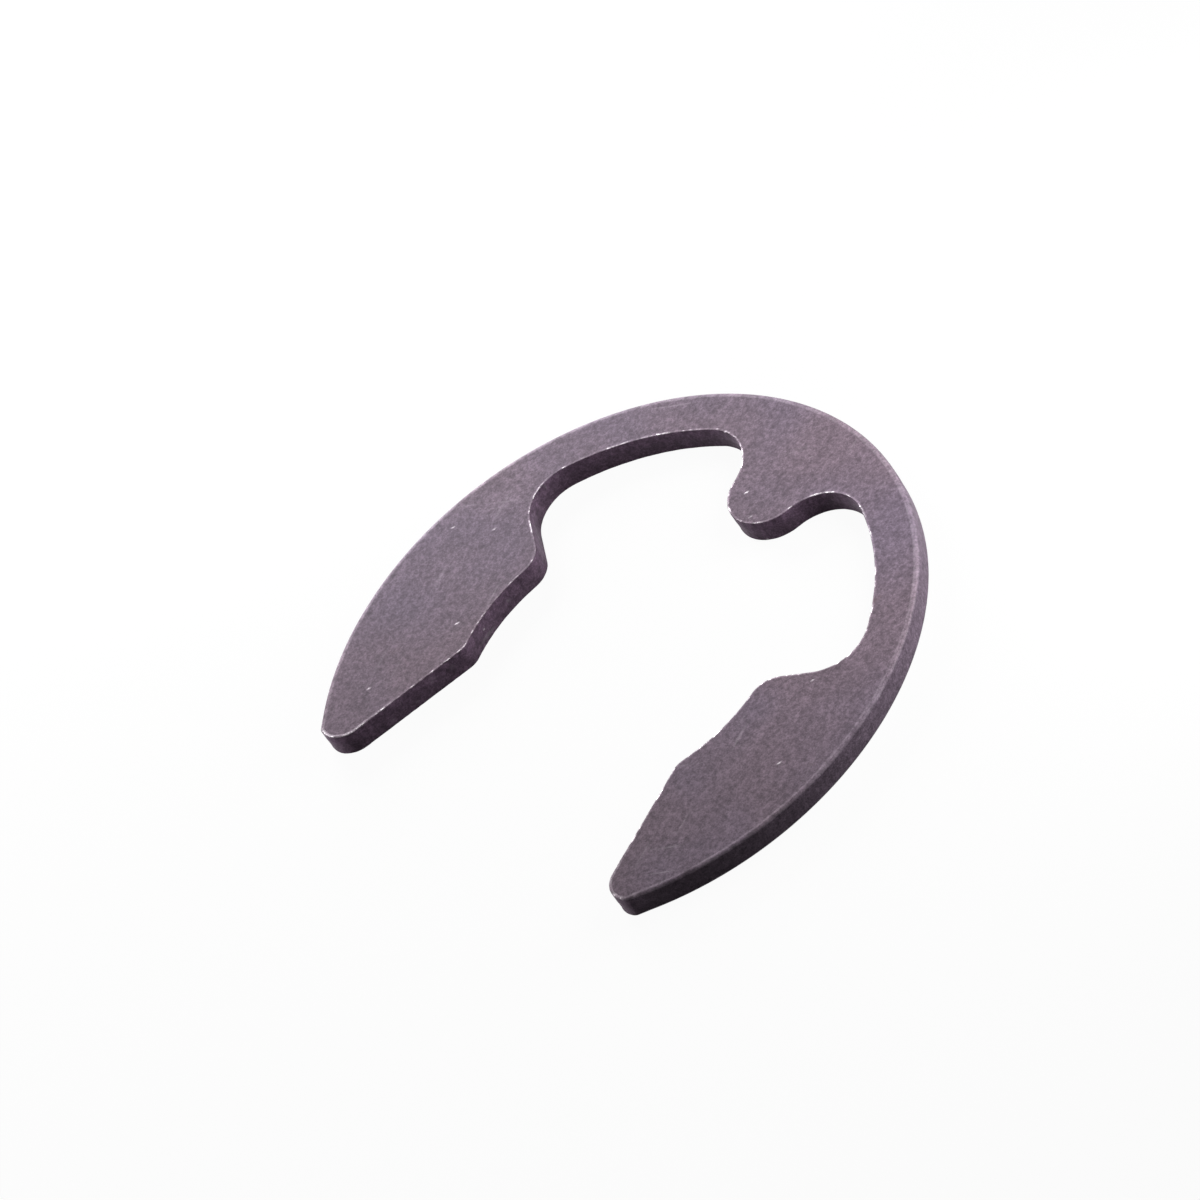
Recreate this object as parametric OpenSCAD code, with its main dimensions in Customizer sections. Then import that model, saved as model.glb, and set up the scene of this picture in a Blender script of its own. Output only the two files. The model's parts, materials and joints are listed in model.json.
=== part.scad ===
// External retaining ring of the open kind, which grips the floor of a shaft's groove on two pads and
// a centre tongue. It is one piece, blanked from spring steel sheet, and it is pushed on sideways.
//
// The ring lies flat on z = 0. The origin is on the shaft's axis. Y runs along the ring's mirror axis
// to the closed back, and the mouth opens towards -Y. Sizes are those of the unstressed ring.

/* [Ring] */
// Outside diameter
outer_d = 33; // [30:0.1:38]
// Diameter of the circle that touches both pads and the tongue
seat_d = 18.4; // [16:0.1:20]
// Width of the slim spring arc between the relief and the outside
rim_w = 2.4; // [1.6:0.1:3.4]
// Thickness of the sheet
thickness = 1.35; // [0.8:0.05:2.5]
// Radius of the rolled-over outside edge, on both faces
rim_edge_r = 0.18; // [0.05:0.01:0.35]

/* [Centre tongue] */
// Radius of the tongue's nose
nose_r = 2.2; // [1.4:0.1:3]
// Radius at the tongue's root, where it runs into the spring arc
root_r = 2.7; // [1.5:0.1:3.2]

/* [Pads and shoulders] */
// Angle on the seat circle, above the X axis, at which the pad ends and the shoulder starts
pad_top_deg = 15.5; // [8:0.5:22]
// Slope of the shoulder, which runs from the pad out to the spring arc
shoulder_deg = 33.5; // [24:0.5:42]
// Radius between the pad and the shoulder
pad_r = 1.5; // [0.6:0.1:2.2]
// Radius between the shoulder and the spring arc
lobe_r = 2.5; // [1.2:0.1:3.2]

/* [Mouth and tips] */
// Angle on the seat circle, below the X axis, at which the pad ends at the mouth
lip_deg = 22.5; // [16:0.5:30]
// Radius of the lip, over which the ring snaps onto the shaft
lip_r = 1.1; // [0.5:0.1:2]
// Angle by which each side of the mouth flares out from the mirror axis
flare_deg = 15.5; // [8:0.5:18]
// Angle on the outside circle, below the X axis, at which the arm ends
tip_end_deg = 42; // [36:0.5:46]
// Slope of the arm's end face
tip_slope_deg = 10; // [0:0.5:20]
// Radius between the mouth's side and the arm's end
tip_inner_r = 1.4; // [0.5:0.1:1.6]
// Radius between the arm's end and the outside
tip_outer_r = 0.6; // [0.2:0.05:0.8]

/* [Hidden] */
$fn = 180;

outer_r = outer_d / 2;
seat_r = seat_d / 2;
relief_r = outer_r - rim_w;

// How far a corner's circle is let past the edges that it touches, so that it crosses them cleanly
bite = 0.0005;
// How far the cuts run past what they cut, as a share of its size
past = 1.3;

// The point at distance r from the origin in direction a, and the direction of a point
function polar(r, a) = r * [cos(a), sin(a)];
function direction(p) = atan2(p[1], p[0]);

// The point where the line through p in direction a crosses the line through q in direction b
function crossing(p, a, q, b) =
    p + cross(q - p, polar(1, b)) / cross(polar(1, a), polar(1, b)) * polar(1, a);

// The point at distance reach from the origin on the line through p in direction a. side is 1 for
// the crossing further along the line and -1 for the one before it.
function on_circle(p, a, reach, side) =
    let (along = polar(1, a), b = p * along)
    p + (side * sqrt(b * b - p * p + reach * reach) - b) * along;

// Sharp corners of the right arm
pad_top = polar(seat_r, pad_top_deg);
lip = polar(seat_r, -lip_deg);
tip_end = polar(outer_r, -tip_end_deg);
tip_inner = crossing(lip, flare_deg - 90, tip_end, tip_slope_deg);

// Directions out of the steel, square to the three straight edges of the right arm
shoulder_out = shoulder_deg + 90;
mouth_out = flare_deg + 180;
end_out = tip_slope_deg + 270;

// Centres of the right arm's corner circles
lobe_c = on_circle(pad_top + polar(lobe_r, shoulder_out), shoulder_deg, relief_r - lobe_r, 1);
pad_c = on_circle(pad_top - polar(pad_r, shoulder_out), shoulder_deg, seat_r + pad_r, 1);
lip_c = on_circle(lip - polar(lip_r, mouth_out), flare_deg - 90, seat_r + lip_r, 1);
tip_inner_c = crossing(lip - polar(tip_inner_r, mouth_out), flare_deg - 90,
                       tip_end - polar(tip_inner_r, end_out), tip_slope_deg);
tip_outer_c = on_circle(tip_end - polar(tip_outer_r, end_out), tip_slope_deg, outer_r - tip_outer_r, 1);

// Centres of the tongue's nose and of the root circle on its right. The root circle touches both the
// nose and the relief, so its centre's height follows from its distance to the origin and to the nose.
nose_c = [0, seat_r + nose_r];
root_reach = relief_r - root_r;
root_y = (root_reach * root_reach + nose_c * nose_c - pow(nose_r + root_r, 2)) / (2 * nose_c[1]);
root_c = [sqrt(root_reach * root_reach - root_y * root_y), root_y];

module both_sides() {
    children();
    mirror([1, 0, 0]) children();
}

// A polygon from the points of its right half, which start and end at the mirror axis
module mirrored_polygon(right) {
    left = [for (i = [len(right) - 1 : -1 : 0]) [-right[i][0], right[i][1]]];
    polygon(concat(right, left));
}

// The area between a corner's arc, which spans two directions from its centre, and the sharp corner
module corner(centre, r, from, to) {
    half_span = (to - from) / 2;
    difference() {
        polygon([
            centre,
            centre + polar(past * r, from),
            centre + polar(past * r / cos(half_span), from + half_span),
            centre + polar(past * r, to),
        ]);
        translate(centre) circle(r + bite);
    }
}

// The tongue, from its nose on the seat circle to its root in the spring arc
module tongue() {
    difference() {
        union() {
            translate(nose_c) circle(nose_r);
            mirrored_polygon([nose_c, root_c, polar(outer_r, direction(root_c))]);
        }
        both_sides() translate(root_c) circle(root_r + bite);
    }
}

// What is blanked out of the disc: the seat, the relief on either side of the tongue, and the mouth
module opening() {
    shoulder_end = pad_top + polar(outer_r, shoulder_deg);
    mouth_end = tip_end + polar(outer_r, tip_slope_deg);
    difference() {
        union() {
            circle(seat_r);
            intersection() {
                circle(relief_r);
                mirrored_polygon([[0, 0], pad_top, shoulder_end, [shoulder_end[0], past * outer_r]]);
            }
            mirrored_polygon([[0, 0], lip, tip_inner, mouth_end, [mouth_end[0], -past * outer_r]]);
            both_sides() {
                corner(pad_c, pad_r, shoulder_out, direction(pad_c) + 180);
                corner(lip_c, lip_r, direction(lip_c) + 180, mouth_out);
                corner(tip_inner_c, tip_inner_r, mouth_out, end_out);
                corner(tip_outer_c, tip_outer_r, end_out, direction(tip_outer_c) + 360);
            }
        }
        tongue();
        both_sides() corner(lobe_c, lobe_r, shoulder_deg - 90, direction(lobe_c));
    }
}

// Half of the disc's section, with its two outside edges rounded
module blank_section() {
    flat_r = outer_r - rim_edge_r;
    square([flat_r, thickness]);
    translate([0, rim_edge_r]) square([outer_r, thickness - 2 * rim_edge_r]);
    for (z = [rim_edge_r, thickness - rim_edge_r]) translate([flat_r, z]) circle(rim_edge_r);
}

module ring() {
    color([0.47, 0.43, 0.47]) difference() {
        rotate_extrude() blank_section();
        translate([0, 0, -thickness]) linear_extrude(3 * thickness) opening();
    }
}

ring();
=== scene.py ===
"""Looks of an open external retaining ring, blanked from spring steel, phosphated and oiled.

Metres, in the part's own frame: +Z up, the origin on the shaft's axis at the ring's underside, and +Y
along the mirror axis to the closed back. Outlines are worked out in the XY plane as complex numbers.
"""
import cmath
import json
import math
from types import SimpleNamespace

import bpy
import numpy as np
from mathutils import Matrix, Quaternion, Vector, geometry, noise

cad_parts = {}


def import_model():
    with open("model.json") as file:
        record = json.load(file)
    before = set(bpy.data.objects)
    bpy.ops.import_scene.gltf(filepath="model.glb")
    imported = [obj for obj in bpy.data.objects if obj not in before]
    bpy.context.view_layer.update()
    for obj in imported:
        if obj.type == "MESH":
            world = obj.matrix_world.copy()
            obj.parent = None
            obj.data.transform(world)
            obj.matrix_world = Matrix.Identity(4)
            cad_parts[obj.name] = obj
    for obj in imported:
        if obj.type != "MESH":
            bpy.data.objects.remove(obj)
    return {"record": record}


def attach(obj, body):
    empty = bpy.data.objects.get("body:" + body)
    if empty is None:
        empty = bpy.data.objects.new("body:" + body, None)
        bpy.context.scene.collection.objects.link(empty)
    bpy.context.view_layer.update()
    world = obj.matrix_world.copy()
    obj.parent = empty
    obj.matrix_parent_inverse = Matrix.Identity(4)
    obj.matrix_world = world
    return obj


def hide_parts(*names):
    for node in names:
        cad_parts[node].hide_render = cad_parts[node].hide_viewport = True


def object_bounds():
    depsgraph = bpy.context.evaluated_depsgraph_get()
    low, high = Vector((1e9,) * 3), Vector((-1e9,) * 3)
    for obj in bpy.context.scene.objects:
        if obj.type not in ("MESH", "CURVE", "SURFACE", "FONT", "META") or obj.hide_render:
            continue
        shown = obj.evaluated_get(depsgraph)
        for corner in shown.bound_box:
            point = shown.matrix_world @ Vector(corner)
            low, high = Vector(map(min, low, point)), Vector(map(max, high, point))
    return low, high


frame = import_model()
CAD_LOW, CAD_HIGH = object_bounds()
MM = 0.001

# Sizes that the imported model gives
MOUNTS = {mount["name"]: mount["dims"] for mount in frame["record"]["mounts"]}
OUTER_R = CAD_HIGH.x
THICKNESS = CAD_HIGH.z
SEAT_R = MOUNTS["shaft_seat"]["r_mm"] * MM

# The rest of the outline, as in the part's source
RIM_W = 2.4 * MM
NOSE_R = 2.2 * MM
ROOT_R = 2.7 * MM
PAD_TOP_DEG = 15.5
SHOULDER_DEG = 33.5
PAD_R = 1.5 * MM
LOBE_R = 2.5 * MM
LIP_DEG = 22.5
LIP_R = 1.1 * MM
FLARE_DEG = 15.5
TIP_END_DEG = 42
TIP_SLOPE_DEG = 10
TIP_INNER_R = 1.4 * MM
TIP_OUTER_R = 0.6 * MM
RIM_EDGE_R = 0.18 * MM

# The cut edges. A wander is (size of its lumps, seed).
CUT_EDGE_UPPER_R = 0.05 * MM
CUT_EDGE_LOWER_R = 0.04 * MM
CUT_EDGE_UNEVEN = 0.35
EDGE_WAVES = (0.6 * MM, 3)
EDGE_NICKS = (0.22 * MM, 5)
# How near the outside circle a point counts as on it, and how many points to either side of an end of
# the outside edge share in its change to a cut edge
RIM_TOLERANCE = 0.01 * MM
TIP_BLEND = 8
# Where a rounded edge stands out most, as the turn from the flat face, and how fast that fades
CREST_DEG = 10
CREST_POWER = 4
# How far the wear round the arms' ends reaches in full, and over what length it fades
END_WEAR_REACH = 1.8 * MM
END_WEAR_FADE = 3.0 * MM

# The walls, as shares of the thickness: how much of it sheared before the rest broke, and over how
# much the fracture then sets in and, at the lower edge, ends
BURNISHED_SHARE = 0.45
FRACTURE_ONSET = 0.15
FRACTURE_RETURN = 0.12
# How far the fracture lies back: by its slope at the underside, and by its roughness
FRACTURE_TAPER = 0.02 * MM
FRACTURE_ROUGH = 0.012 * MM
FRACTURE_LUMPS = (0.22 * MM, 7)
FRACTURE_GRAINS = (0.1 * MM, 11)
FRACTURE_GRAIN_SHARE = 0.25
# Heights are scaled by this where the fracture's wander is read, so its lumps are taller than wide
FRACTURE_SQUEEZE = 0.5

# How finely the mesh is drawn
POINT_GAP = 0.1 * MM
MAX_TURN_DEG = 5
EDGE_STEPS = 6
WALL_STEPS = 12
# Loops on the flat faces beside the rounding: (distance from it, crest)
FACE_MARGINS = ((0.12 * MM, 0.0), (0.05 * MM, 0.6))
# The grid of points inside the flat faces, and how many cells it keeps clear of their edge
FACE_CELL = 0.6 * MM
FACE_CLEAR_CELLS = 0.7
FILL_TOLERANCE = 1e-7
FILL_INSIDE_ONLY = 1

# How far the noise is shifted along each axis for a seed of 1
SEED_SHIFT = (1, 2.7, 5.3)

# Colours
COAT_COOL = (0.197, 0.152, 0.205, 1)
COAT_WARM = (0.209, 0.154, 0.195, 1)
COAT_RIM = (0.174, 0.131, 0.174, 1)
WALL_HIGH = (0.152, 0.099, 0.150, 1)
WALL_LOW = (0.128, 0.085, 0.125, 1)
TINT_BROWN = (0.16, 0.085, 0.07, 1)
BARE_STEEL = (0.82, 0.78, 0.81, 1)
FLOOR_PALE = (0.35, 0.35, 0.35, 1)
WHITE = (1, 1, 1, 1)

# Noises: (size of their lumps in millimetres, detail, roughness, seed)
FINE_GRAIN = (0.05, 2, 0.7, 0)
COARSE_GRAIN = (0.14, 4, 0.7, 3)
PATCHES = (0.9, 3, 0.6, 7)
CLOUDS = (4.0, 2, 0.5, 11)
WALL_STREAKS = (0.1, 3, 0.6, 13)
WALL_BLOTCHES = (0.2, 3, 0.6, 31)
BROWN_STAINS = (0.9, 2, 0.5, 17)
RUBS = (0.35, 1, 0.5, 37)
EDGE_WEAR = (0.3, 3, 0.7, 29)
# The same without a seed, because each direction of scratches has its own
SCRATCH_LINES = (0.25, 1, 0.5)
SCRATCH_PLACES = (1.5, 1, 0.5)

# The values between which nearly all of a noise lies
NOISE_RANGE = (0.2, 0.8)
# The values of a mark's noise between which the mark sets in
CLOUD_ONSET = (0.35, 0.65)
BLOTCH_ONSET = (0.3, 0.7)
STAIN_ONSET = (0.68, 0.8)
RUB_ONSET = (0.55, 0.72)
SCRATCH_ONSET = (0.62, 0.78)
SCRATCH_PLACE_ONSET = (0.52, 0.7)
WORN_ONSET = (0.46, 0.66)
RUBBED_ONSET = (0.35, 0.65)
# How strong the wear and the rubbing of an edge are below and above those values
WORN_RANGE = (0.05, 1.0)
RUBBED_RANGE = (0.5, 1.5)

# The crests between which an edge grows lighter, partly a rubbed coat and partly a painted highlight, and
# grows worn and rubbed
CREST_HIGHLIGHTED = (0.0, 0.8)
CREST_WORN = (0.4, 1.0)
CREST_RUBBED = (0.0, 0.1)
# The upward parts of the normal between which a face becomes a wall
WALL_TILT = (0.7, 0.35)
# The heights in millimetres between which a wall goes from its high colour to its low one
WALL_FADE = (1.15, 0.3)

# How much darker and lighter than the coat's mean each noise makes it
COARSE_CONTRAST = 0.42
FINE_CONTRAST = 0.38
PATCH_CONTRAST = 0.09
RIM_BLOTCH_CONTRAST = 0.1
CUT_BLOTCH_CONTRAST = 0.22
# What the coat's lightness is multiplied by off and on a rub, and on a crest, where it is partly a rubbed
# coat and partly a painted highlight
RUB_LIGHT = (0.99, 1.11)
CREST_PAINTED_HIGHLIGHT = 1.35
END_CREST_PAINTED_HIGHLIGHT = 1.2

# Directions of what runs across the ring, as turns about Z, and how far it is drawn out along each axis
RUB_DEG = 107
RUB_STRETCH = (9, 1, 1)
SPECK_DEG = 64
SPECK_STRETCH = (2.4, 1, 1)
SCRATCH_STRETCH = (10, 0.5, 1)
# Each direction of scratches: (turn, seed of the lines, seed of the places that have them)
SCRATCHES = ((107, 21, 26), (35, 23, 28))
# The same for what runs up and down the walls, which isn't turned
STREAK_STRETCH = (1, 1, 6)
BLOTCH_STRETCH = (1, 1, 1.6)

# Specks of bare steel: the cell that may hold one and its size in millimetres, and the share that do
SPECK_CELL = 0.8
SPECK_SIZE = 0.09
SPECK_SHARE = 0.45

# How strongly bare steel shows in each kind of wear, and brown in a stain
SCRATCH_BARE = 0.15
SPECK_BARE = 0.8
RIM_BARE = 0.055
END_BARE = 0.16
STAIN_BROWN = 0.4

# Gloss: the coat's roughness by its patches, how far its grain changes that, and how much bare steel
# takes off it
ROUGHNESS = (0.42, 0.5)
FINE_ROUGHNESS = 0.05
BARE_ROUGHNESS = 0.1
BARE_METALLIC = 0.9
SPECULAR = 0.04
# Grain: how high the fine grain and the streaks are beside the coarse grain, and the depth of it all
FINE_RELIEF = 0.5
STREAK_RELIEF = 1.5
BUMP_DEPTH = 0.012 * MM

# The studio. The glow is the white share of the floor where it is seen.
FLOOR_HALF = 2.0
FLOOR_GLOW = 0.95
WORLD_LEVEL = 0.03
# Lamps: (name, azimuth, elevation, distance, size, level), with angles in degrees
LAMPS = (
    ("left_light", 252, 18, 0.07, 0.04, 1.29),
    ("back_light", 148, 24, 0.045, 0.034, 0.88),
    ("front_light", 325, 12, 0.12, 0.045, 0.41),
)

# The camera, which looks at a point in the plane of the upper face
CAMERA_LENS = 510
CAMERA_AIM = Vector((-3.53 * MM, 2.07 * MM, THICKNESS))
CAMERA_AZIMUTH_DEG = 71.85
CAMERA_ELEVATION_DEG = 41.58
CAMERA_DISTANCE = 0.846
CAMERA_ROLL_DEG = -35.39


# The outline

def polar(radius, degrees):
    return cmath.rect(radius, math.radians(degrees))


def direction(p):
    return math.degrees(cmath.phase(p))


def dot(a, b):
    return (a.conjugate() * b).real


def cross(a, b):
    return (a.conjugate() * b).imag


def crossing(p, a, q, b):
    """The point where the line through p in direction a crosses the line through q in direction b."""
    return p + cross(q - p, polar(1, b)) / cross(polar(1, a), polar(1, b)) * polar(1, a)


def on_circle(p, a, reach, side):
    """The point at distance reach from the origin on the line through p in direction a.

    side is 1 for the crossing further along the line and -1 for the one before it.
    """
    along = polar(1, a)
    b = dot(p, along)
    return p + (side * math.sqrt(b * b - abs(p) ** 2 + reach * reach) - b) * along


def root_centre(nose_c):
    """Centre of the circle that touches the nose and the relief on the tongue's right."""
    reach = OUTER_R - RIM_W - ROOT_R
    y = (reach ** 2 + nose_c.imag ** 2 - (NOSE_R + ROOT_R) ** 2) / (2 * nose_c.imag)
    return complex(math.sqrt(reach ** 2 - y ** 2), y)


def tongue_arcs(relief_r, lobe_c):
    """The arcs from the tongue's nose to the end of the relief on its right."""
    nose_c = complex(0, SEAT_R + NOSE_R)
    root_c = root_centre(nose_c)
    return [
        (nose_c, NOSE_R, -90, direction(root_c - nose_c)),
        (root_c, ROOT_R, direction(root_c - nose_c) + 180, direction(root_c)),
        (0, relief_r, direction(root_c), direction(lobe_c)),
    ]


def right_half():
    """The arcs of the right half, from the nose round the arm to the back, with the steel on the left.

    Each is (centre, radius, first direction, last direction). One that runs clockwise is hollow.
    Straight edges join arcs whose ends lie apart.
    """
    relief_r = OUTER_R - RIM_W
    shoulder_out = SHOULDER_DEG + 90
    mouth_out = FLARE_DEG + 180
    end_out = TIP_SLOPE_DEG + 270
    pad_top = polar(SEAT_R, PAD_TOP_DEG)
    lip = polar(SEAT_R, -LIP_DEG)
    tip_end = polar(OUTER_R, -TIP_END_DEG)
    lobe_c = on_circle(pad_top + polar(LOBE_R, shoulder_out), SHOULDER_DEG, relief_r - LOBE_R, 1)
    pad_c = on_circle(pad_top - polar(PAD_R, shoulder_out), SHOULDER_DEG, SEAT_R + PAD_R, 1)
    lip_c = on_circle(lip - polar(LIP_R, mouth_out), FLARE_DEG - 90, SEAT_R + LIP_R, 1)
    tip_inner_c = crossing(lip - polar(TIP_INNER_R, mouth_out), FLARE_DEG - 90,
                           tip_end - polar(TIP_INNER_R, end_out), TIP_SLOPE_DEG)
    tip_outer_c = on_circle(tip_end - polar(TIP_OUTER_R, end_out), TIP_SLOPE_DEG, OUTER_R - TIP_OUTER_R, 1)
    return tongue_arcs(relief_r, lobe_c) + [
        (lobe_c, LOBE_R, direction(lobe_c), SHOULDER_DEG - 90),
        (pad_c, PAD_R, shoulder_out, direction(pad_c) + 180),
        (0, SEAT_R, direction(pad_c), direction(lip_c)),
        (lip_c, LIP_R, direction(lip_c) + 180, mouth_out),
        (tip_inner_c, TIP_INNER_R, mouth_out, end_out),
        (tip_outer_c, TIP_OUTER_R, end_out, direction(tip_outer_c) + 360),
        (0, OUTER_R, direction(tip_outer_c), 90),
    ]


def arc(centre, radius, first, last):
    """Points along an arc, and the directions out of the steel there."""
    turn = abs(last - first)
    steps = math.ceil(max(turn / MAX_TURN_DEG, math.radians(turn) * radius / POINT_GAP))
    spokes = np.exp(1j * np.radians(np.linspace(first, last, steps + 1)))
    return centre + radius * spokes, spokes if last > first else -spokes


def straight(start, end, out):
    """Points along a straight edge without its ends, and the direction out of the steel."""
    steps = math.ceil(abs(end - start) / POINT_GAP)
    points = np.linspace(start, end, steps + 1)[1:-1]
    return points, np.full(len(points), out)


def outline():
    """The ring's outline as a closed run of points, and the directions out of the steel there."""
    pieces = right_half()
    points, outs = arc(*pieces[0])
    for piece in pieces[1:]:
        more, more_outs = arc(*piece)
        edge, edge_outs = straight(points[-1], more[0], outs[-1])
        if len(edge) == 0:
            more, more_outs = more[1:], more_outs[1:]
        points = np.concatenate([points, edge, more])
        outs = np.concatenate([outs, edge_outs, more_outs])
    mirrored = -points[-2:0:-1].conj()
    mirrored_outs = -outs[-2:0:-1].conj()
    return np.append(points, mirrored), np.append(outs, mirrored_outs)


# The ring's mesh

def wander(points, lump, seed):
    """Smooth noise from -1 to 1 at each point (x, y, z), with lumps of the given size."""
    shift = Vector([step * seed for step in SEED_SHIFT])
    return np.array([noise.noise(Vector(p) / lump + shift) for p in points])


def flat_points(points, height=0.0):
    """Points of the plane as rows of x, y and z."""
    return np.stack([points.real, points.imag, np.full(len(points), height)], axis=1)


def cut_share(points):
    """0 at the outline points on the outside, 1 where the ring was cut, and in between at the tips."""
    cut = (abs(points) < OUTER_R - RIM_TOLERANCE).astype(float)
    window = np.ones(2 * TIP_BLEND + 1) / (2 * TIP_BLEND + 1)
    return np.convolve(np.concatenate([cut[-TIP_BLEND:], cut, cut[:TIP_BLEND]]), window, "valid")


def end_share(points):
    """1 round the arms' ends, whose edges are rubbed most, and 0 away from them."""
    end = polar(OUTER_R, -TIP_END_DEG)
    gap = np.minimum(abs(points - end), abs(points + end.conjugate()))
    return np.clip(1 - (gap - END_WEAR_REACH) / END_WEAR_FADE, 0, 1)


def edge_radius(points, cut, cut_edge_r):
    """The rounding at each outline point: the rolled outside edge's, or that of an uneven cut edge."""
    rows = flat_points(points)
    uneven = 1 + cut * CUT_EDGE_UNEVEN * (wander(rows, *EDGE_WAVES) + wander(rows, *EDGE_NICKS))
    return uneven * (RIM_EDGE_R + cut * (cut_edge_r - RIM_EDGE_R))


def rounding(edge_r):
    """The loops of a rounded edge, from the flat face over to the wall: (inset, depth, crest).

    crest says how far the edge stands out to be rubbed and to carry a painted highlight: 1 just over the
    face's end and 0 on the wall.
    """
    loops = [(edge_r + margin, 0 * edge_r, crest) for margin, crest in FACE_MARGINS]
    for turn in np.linspace(0, 90, EDGE_STEPS + 1):
        over = math.radians(turn)
        crest = math.cos(math.radians(turn - CREST_DEG)) ** CREST_POWER
        loops.append((edge_r * (1 - math.sin(over)), edge_r * (1 - math.cos(over)), crest))
    return loops


def section(upper_r, lower_r):
    """The loops of the ring's section from the upper face to the underside: (inset, height, crest)."""
    over = [(inset, THICKNESS - depth, crest) for inset, depth, crest in rounding(upper_r)]
    under = [(inset, depth, crest) for inset, depth, crest in reversed(rounding(lower_r))]
    high, low = over[-1][1], under[0][1]
    wall = []
    for share in np.linspace(0, 1, WALL_STEPS + 1)[1:-1]:
        wall.append((0 * upper_r, high + share * (low - high), 0))
    return over + wall + under


def fracture(points, heights):
    """How far the wall lies back from the outline where the steel broke instead of shearing."""
    depth = 1 - heights / THICKNESS
    onset = np.clip((depth - BURNISHED_SHARE) / FRACTURE_ONSET, 0, 1)
    share = onset * np.clip((1 - depth) / FRACTURE_RETURN, 0, 1)
    rows = flat_points(points)
    rows[:, 2] = heights * FRACTURE_SQUEEZE
    fine = FRACTURE_GRAIN_SHARE * wander(rows, *FRACTURE_GRAINS)
    rough = 0.5 + 0.5 * wander(rows, *FRACTURE_LUMPS) + fine
    return share * (FRACTURE_TAPER * depth + FRACTURE_ROUGH * rough)


def loop_rows(points, outs, inset, height):
    """One loop of the section as rows of x, y and z."""
    lay = points - (inset + fracture(points, height)) * outs
    return np.stack([lay.real, lay.imag, height], axis=1)


def wall_faces(loop_count, count):
    """The faces between neighbouring loops of count points each."""
    faces = []
    for upper in range(0, (loop_count - 1) * count, count):
        lower = upper + count
        for i in range(count):
            j = (i + 1) % count
            faces.append([upper + i, lower + i, lower + j, upper + j])
    return faces


def hexagon_points(low, high, cell):
    """A plane's points in staggered rows, from one corner of a box to the other."""
    rows = []
    row_gap = cell * math.sqrt(3) / 2
    for row in range(int((high.y - low.y) / row_gap) + 1):
        start = low.x + (row % 2) * cell / 2
        for column in range(int((high.x - low.x) / cell) + 1):
            rows.append(complex(start + column * cell, low.y + row * row_gap))
    return np.array(rows)


def face_fill(rim):
    """Triangles that fill the closed run of points rim, as (added points, faces).

    A face's corners count rim's points first and then the added ones.
    """
    inner = hexagon_points(CAD_LOW, CAD_HIGH, FACE_CELL)
    near = np.array([abs(rim - p).min() for p in inner])
    inner = inner[near > FACE_CLEAR_CELLS * FACE_CELL]
    corners = [Vector((p.real, p.imag)) / MM for p in np.append(rim, inner)]
    bound = [range(len(rim))]
    filled = geometry.delaunay_2d_cdt(corners, [], bound, FILL_INSIDE_ONLY, FILL_TOLERANCE)
    triangles, sources = filled[2:4]
    faces = [[sources[corner][0] for corner in triangle] for triangle in triangles]
    used = sorted({corner for face in faces for corner in face if corner >= len(rim)})
    place = {old: len(rim) + new for new, old in enumerate(used)}
    faces = [[place.get(corner, corner) for corner in face] for face in faces]
    return inner[np.array(used) - len(rim)], faces


def flat_face(rim, first, base, downward):
    """A flat face within the rows rim, as (rows of the added points, faces).

    first and base are the mesh's numbers for rim's first point and for the first added one.
    """
    added, fill = face_fill(rim[:, 0] + 1j * rim[:, 1])
    faces = []
    for face in fill:
        corners = [first + c if c < len(rim) else base + c - len(rim) for c in face]
        faces.append(corners[::-1] if downward else corners)
    return flat_points(added, rim[0, 2]), faces


def ring_mesh():
    """The ring's mesh. Its points carry crest, cut and end, which say how worn the steel is there; crest
    also says how strong the painted highlight on its edges is.
    """
    points, outs = outline()
    count = len(points)
    cut = cut_share(points)
    loops = section(edge_radius(points, cut, CUT_EDGE_UPPER_R), edge_radius(points, cut, CUT_EDGE_LOWER_R))
    rows = [loop_rows(points, outs, inset, height) for inset, height, crest in loops]
    crests = [np.full(count, crest) for inset, height, crest in loops]
    cuts = [cut] * len(loops)
    ends = [end_share(points)] * len(loops)
    faces = wall_faces(len(loops), count)
    for loop, downward in ((0, False), (len(loops) - 1, True)):
        added, fill = flat_face(rows[loop], loop * count, sum(len(r) for r in rows), downward)
        rows.append(added)
        crests.append(np.zeros(len(added)))
        cuts.append(np.ones(len(added)))
        ends.append(np.zeros(len(added)))
        faces += fill
    mesh = bpy.data.meshes.new("ring")
    mesh.from_pydata(np.concatenate(rows).tolist(), [], faces)
    for name, parts in (("crest", crests), ("cut", cuts), ("end", ends)):
        values = np.concatenate(parts).astype(np.float32)
        mesh.attributes.new(name, "FLOAT", "POINT").data.foreach_set("value", values)
    mesh.shade_smooth()
    return mesh


# Nodes

def put(tree, kind, feeds=None, **settings):
    """A new node with the given settings. feeds names what each input takes: a socket or a plain value."""
    made = tree.nodes.new(kind)
    for name, value in settings.items():
        setattr(made, name, value)
    for name, value in (feeds or {}).items():
        if isinstance(value, bpy.types.NodeSocket):
            tree.links.new(value, made.inputs[name])
        else:
            made.inputs[name].default_value = value
    return made


def calculate(tree, operation, value, *more):
    """value, with the operation applied to it and each of the others in turn."""
    for other in more:
        value = put(tree, "ShaderNodeMath", {0: value, 1: other}, operation=operation).outputs[0]
    return value


def product(tree, *factors):
    return calculate(tree, "MULTIPLY", *factors)


def largest(tree, *values):
    return calculate(tree, "MAXIMUM", *values)


def ramp(tree, value, start, end, low=0.0, high=1.0):
    """value carried smoothly from low at start to high at end, and held there beyond them."""
    feeds = {"Value": value, "From Min": start, "From Max": end, "To Min": low, "To Max": high}
    return put(tree, "ShaderNodeMapRange", feeds, interpolation_type="SMOOTHSTEP").outputs[0]


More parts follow.
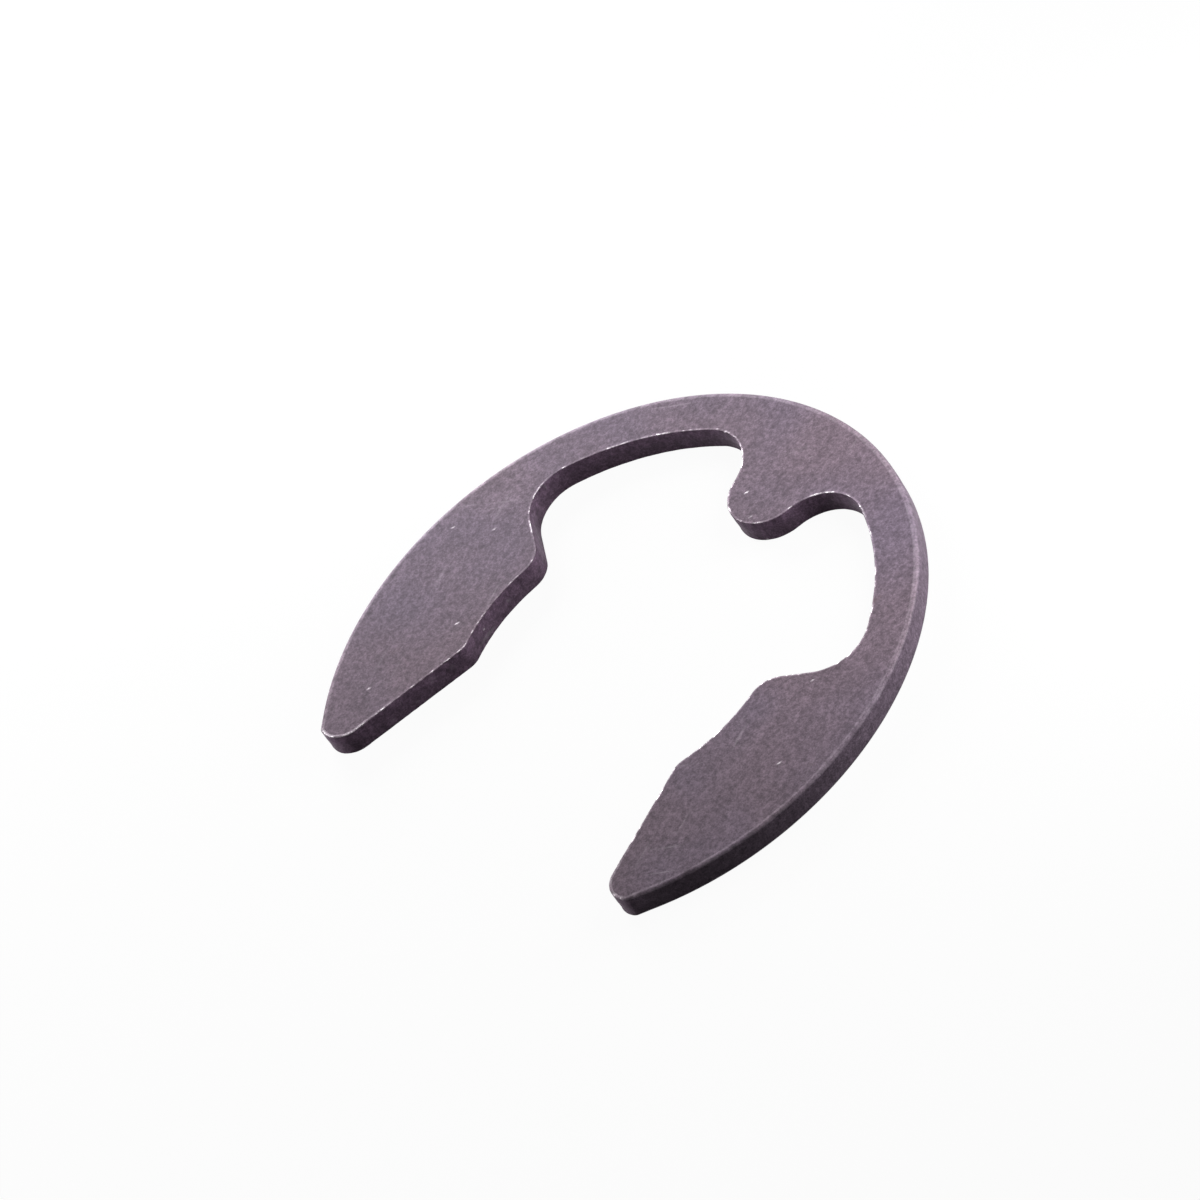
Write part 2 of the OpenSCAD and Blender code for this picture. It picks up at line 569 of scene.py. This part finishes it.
def spread(tree, value, low, high):
    """A noise carried from low to high over nearly all of its values."""
    return ramp(tree, value, *NOISE_RANGE, low, high)


def contrast(tree, value, strength):
    """A noise as a factor round 1 that goes up and down by strength."""
    return spread(tree, value, 1 - strength, 1 + strength)


def mixed(tree, share, a, b):
    """The colour a, giving way to b as share goes from 0 to 1."""
    # The Mix node's colours are its inputs 6 and 7 and its output 2
    feeds = {0: share, 6: a, 7: b}
    return put(tree, "ShaderNodeMix", feeds, data_type="RGBA").outputs[2]


def mixed_value(tree, share, a, b):
    """The value a, giving way to b as share goes from 0 to 1."""
    # The Mix node's values are its inputs 2 and 3 and its output 0
    return put(tree, "ShaderNodeMix", {0: share, 2: a, 3: b}, data_type="FLOAT").outputs[0]


def stretched(tree, where, turn_deg, stretch):
    """Coordinates turned about Z and then scaled, so that a noise read from them runs in streaks."""
    feeds = {"Vector": where, "Rotation": (0, 0, math.radians(turn_deg)), "Scale": stretch}
    return put(tree, "ShaderNodeMapping", feeds, vector_type="TEXTURE").outputs[0]


def noisy(tree, where, lump, detail, roughness, seed):
    """Noise from 0 to 1 around 0.5, with lumps of the given size in millimetres.

    The node draws its noise on a lattice, and a lump is half of one of its cells.
    """
    feeds = {"Vector": where, "W": seed, "Scale": 0.5 / lump, "Detail": detail, "Roughness": roughness}
    return put(tree, "ShaderNodeTexNoise", feeds, noise_dimensions="4D").outputs["Fac"]


def attribute(tree, name):
    return put(tree, "ShaderNodeAttribute", attribute_name=name).outputs["Fac"]


# The ring's material

def readings(tree):
    """What the material reads at each point of the surface, as sockets.

    where is the place in millimetres, and height its Z. wall goes from 0 on the flat faces to 1 on the
    walls. crest, cut and end are the mesh's own, and the rest are noises that several things share.
    """
    own = put(tree, "ShaderNodeTexCoord")
    feeds = {"Vector": own.outputs["Object"], "Scale": (1 / MM, 1 / MM, 1 / MM)}
    where = put(tree, "ShaderNodeMapping", feeds).outputs[0]
    upward = put(tree, "ShaderNodeSeparateXYZ", {0: own.outputs["Normal"]}).outputs["Z"]
    return SimpleNamespace(
        where=where,
        height=put(tree, "ShaderNodeSeparateXYZ", {0: where}).outputs["Z"],
        wall=ramp(tree, calculate(tree, "ABSOLUTE", upward, 0), *WALL_TILT),
        crest=attribute(tree, "crest"),
        cut=attribute(tree, "cut"),
        end=attribute(tree, "end"),
        fine=noisy(tree, where, *FINE_GRAIN),
        grain=noisy(tree, where, *COARSE_GRAIN),
        patches=noisy(tree, where, *PATCHES),
    )


def coat_light(tree, at):
    """The factor by which grain, patches, rubs, blotches and edges make the coat lighter or darker, the
    edges partly by a painted highlight.
    """
    rubs = noisy(tree, stretched(tree, at.where, RUB_DEG, RUB_STRETCH), *RUBS)
    blotches = noisy(tree, stretched(tree, at.where, 0, BLOTCH_STRETCH), *WALL_BLOTCHES)
    darkest = mixed_value(tree, at.cut, 1 - RIM_BLOTCH_CONTRAST, 1 - CUT_BLOTCH_CONTRAST)
    lightest = mixed_value(tree, at.cut, 1 + RIM_BLOTCH_CONTRAST, 1 + CUT_BLOTCH_CONTRAST)
    # How strong the painted highlight on a crest is, weaker round the arms' ends
    crest_highlight = mixed_value(tree, at.end, CREST_PAINTED_HIGHLIGHT, END_CREST_PAINTED_HIGHLIGHT)
    return product(
        tree,
        contrast(tree, at.grain, COARSE_CONTRAST),
        contrast(tree, at.fine, FINE_CONTRAST),
        contrast(tree, at.patches, PATCH_CONTRAST),
        ramp(tree, rubs, *RUB_ONSET, *RUB_LIGHT),
        mixed_value(tree, at.wall, 1.0, ramp(tree, blotches, *BLOTCH_ONSET, darkest, lightest)),
        # Painted highlight on the edges' crests, partly also a rubbed, paler coat
        ramp(tree, at.crest, *CREST_HIGHLIGHTED, 1.0, crest_highlight),
    )


def coat_colour(tree, at):
    """The coat's colour, cooler or warmer in clouds, darker on the walls, and brown in a few places."""
    clouds = noisy(tree, at.where, *CLOUDS)
    faces = mixed(tree, ramp(tree, clouds, *CLOUD_ONSET), COAT_COOL, COAT_WARM)
    walls = mixed(tree, ramp(tree, at.height, *WALL_FADE), WALL_HIGH, WALL_LOW)
    walls = mixed(tree, at.cut, COAT_RIM, walls)
    tone = mixed(tree, at.wall, faces, walls)
    feeds = {0: tone, "Scale": coat_light(tree, at)}
    tone = put(tree, "ShaderNodeVectorMath", feeds, operation="SCALE").outputs[0]
    stains = ramp(tree, noisy(tree, at.where, *BROWN_STAINS), *STAIN_ONSET)
    return mixed(tree, product(tree, stains, STAIN_BROWN), tone, TINT_BROWN)


def specks(tree, where, cell, size, share):
    """Small dots of uneven strength, up to 1, of which a given share of the cells has one."""
    dots = put(tree, "ShaderNodeTexVoronoi", {"Vector": where, "Scale": 1 / cell})
    chosen = ramp(tree, dots.outputs["Color"], 1 - share, 1)
    return product(tree, chosen, ramp(tree, dots.outputs["Distance"], 0.0, size / cell, 1.0, 0.0))


def scratches(tree, where, turn_deg, line_seed, place_seed):
    """Thin straight marks in one direction, sparse and of uneven strength."""
    lines = noisy(tree, stretched(tree, where, turn_deg, SCRATCH_STRETCH), *SCRATCH_LINES, line_seed)
    places = noisy(tree, where, *SCRATCH_PLACES, place_seed)
    return product(tree, ramp(tree, lines, *SCRATCH_ONSET), ramp(tree, places, *SCRATCH_PLACE_ONSET))


def bare_share(tree, at):
    """How much bare steel shows: in scratches and specks, and where edges are worn and rubbed."""
    scratched = [scratches(tree, at.where, *run) for run in SCRATCHES]
    speckled = stretched(tree, at.where, SPECK_DEG, SPECK_STRETCH)
    uneven = noisy(tree, at.where, *EDGE_WEAR)
    worn_here = ramp(tree, uneven, *WORN_ONSET, *WORN_RANGE)
    most_rubbed = mixed_value(tree, at.cut, RIM_BARE, product(tree, at.end, END_BARE))
    rubbed_here = ramp(tree, uneven, *RUBBED_ONSET, *RUBBED_RANGE)
    return largest(
        tree,
        product(tree, largest(tree, *scratched), SCRATCH_BARE),
        product(tree, specks(tree, speckled, SPECK_CELL, SPECK_SIZE, SPECK_SHARE), SPECK_BARE),
        product(tree, ramp(tree, at.crest, *CREST_WORN), worn_here, at.cut),
        product(tree, ramp(tree, at.crest, *CREST_RUBBED), most_rubbed, rubbed_here),
    )


def coat_roughness(tree, at, bare):
    """The coat's roughness, uneven with its patches and grain, and less where it is rubbed off."""
    by_patch = spread(tree, at.patches, *ROUGHNESS)
    by_grain = spread(tree, at.fine, -FINE_ROUGHNESS, FINE_ROUGHNESS)
    coat = calculate(tree, "ADD", by_patch, by_grain)
    return calculate(tree, "SUBTRACT", coat, product(tree, bare, BARE_ROUGHNESS))


def coat_normal(tree, at):
    """The bump of the coat's grain, and of the upright streaks on the walls."""
    streaks = noisy(tree, stretched(tree, at.where, 0, STREAK_STRETCH), *WALL_STREAKS)
    fine = product(tree, at.fine, FINE_RELIEF)
    relief = calculate(tree, "ADD", at.grain, fine, product(tree, streaks, at.wall, STREAK_RELIEF))
    feeds = {"Height": relief, "Distance": BUMP_DEPTH, "Strength": 1.0}
    return put(tree, "ShaderNodeBump", feeds).outputs[0]


def steel():
    """Spring steel under a dark grey phosphate coat with oil, worn bright along its sharp edges, with a
    painted highlight on their crests.
    """
    material = bpy.data.materials.new("phosphated_steel")
    material.use_nodes = True
    tree = material.node_tree
    shader = tree.nodes["Principled BSDF"]
    at = readings(tree)
    bare = bare_share(tree, at)
    tree.links.new(mixed(tree, bare, coat_colour(tree, at), BARE_STEEL), shader.inputs["Base Color"])
    tree.links.new(product(tree, bare, BARE_METALLIC), shader.inputs["Metallic"])
    tree.links.new(coat_roughness(tree, at, bare), shader.inputs["Roughness"])
    tree.links.new(coat_normal(tree, at), shader.inputs["Normal"])
    shader.inputs["Specular IOR Level"].default_value = SPECULAR
    return material


# The studio

def seen_directly(tree):
    """1 for a camera, glossy or transmission ray, and 0 for the rays that light things."""
    path = put(tree, "ShaderNodeLightPath").outputs
    return largest(tree, path["Is Camera Ray"], path["Is Glossy Ray"], path["Is Transmission Ray"])


def floor_material():
    """A pale floor, which the camera and reflections see as nearly white, with the object's shadow."""
    material = bpy.data.materials.new("floor")
    material.use_nodes = True
    tree = material.node_tree
    tree.nodes.remove(tree.nodes["Principled BSDF"])
    seen = seen_directly(tree)
    pale = put(tree, "ShaderNodeBsdfDiffuse", {"Color": mixed(tree, seen, FLOOR_PALE, WHITE)})
    white = put(tree, "ShaderNodeEmission", {"Color": WHITE, "Strength": 1.0})
    feeds = {0: product(tree, seen, FLOOR_GLOW), 1: pale.outputs[0], 2: white.outputs[0]}
    surface = put(tree, "ShaderNodeMixShader", feeds)
    tree.links.new(surface.outputs[0], tree.nodes["Material Output"].inputs["Surface"])
    return material


def floor():
    """A square floor under the ring."""
    half, z = FLOOR_HALF, CAD_LOW.z
    mesh = bpy.data.meshes.new("floor")
    corners = [(-half, -half, z), (half, -half, z), (half, half, z), (-half, half, z)]
    mesh.from_pydata(corners, [], [(0, 1, 2, 3)])
    mesh.materials.append(floor_material())
    made = bpy.data.objects.new("floor", mesh)
    bpy.context.collection.objects.link(made)


def world():
    """Even light from all round, seen as white."""
    made = bpy.data.worlds.new("studio")
    bpy.context.scene.world = made
    made.use_nodes = True
    tree = made.node_tree
    background = tree.nodes["Background"]
    tree.links.new(largest(tree, seen_directly(tree), WORLD_LEVEL), background.inputs["Strength"])
    background.inputs["Color"].default_value = WHITE


def toward(azimuth, elevation):
    """The direction from the ring to a place at that azimuth, as the views count it, and elevation."""
    a, e = math.radians(azimuth), math.radians(elevation)
    return Vector((math.sin(a) * math.cos(e), -math.cos(a) * math.cos(e), math.sin(e)))


def stand(made, aim, back, distance):
    """Puts a lamp or camera at a distance from aim in direction back, and turns it to face aim."""
    bpy.context.collection.objects.link(made)
    made.location = aim + back * distance
    made.rotation_mode = "QUATERNION"
    made.rotation_quaternion = (-back).to_track_quat("-Z", "Y")


def lamp(name, azimuth, elevation, distance, size, level):
    """A square soft light. level is how bright it makes a white surface that faces it, where 1 is white."""
    light = bpy.data.lights.new(name, "AREA")
    light.size = size
    light.energy = level * (math.pi * distance) ** 2
    stand(bpy.data.objects.new(name, light), Vector(), toward(azimuth, elevation), distance)


def camera():
    """The camera at the viewing angle, rolled about its own axis."""
    data = bpy.data.cameras.new("camera")
    data.lens = CAMERA_LENS
    made = bpy.data.objects.new("camera", data)
    stand(made, CAMERA_AIM, toward(CAMERA_AZIMUTH_DEG, CAMERA_ELEVATION_DEG), CAMERA_DISTANCE)
    roll = Quaternion((0, 0, 1), math.radians(CAMERA_ROLL_DEG))
    made.rotation_quaternion = made.rotation_quaternion @ roll
    bpy.context.scene.camera = made


def ring():
    """The one piece, which stands for the part's solid."""
    made = bpy.data.objects.new("retaining_ring", ring_mesh())
    bpy.context.collection.objects.link(made)
    made.data.materials.append(steel())
    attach(made, "root")
    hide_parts("ring")


bpy.context.scene.view_settings.view_transform = "Standard"
ring()
floor()
world()
for settings in LAMPS:
    lamp(*settings)
camera()
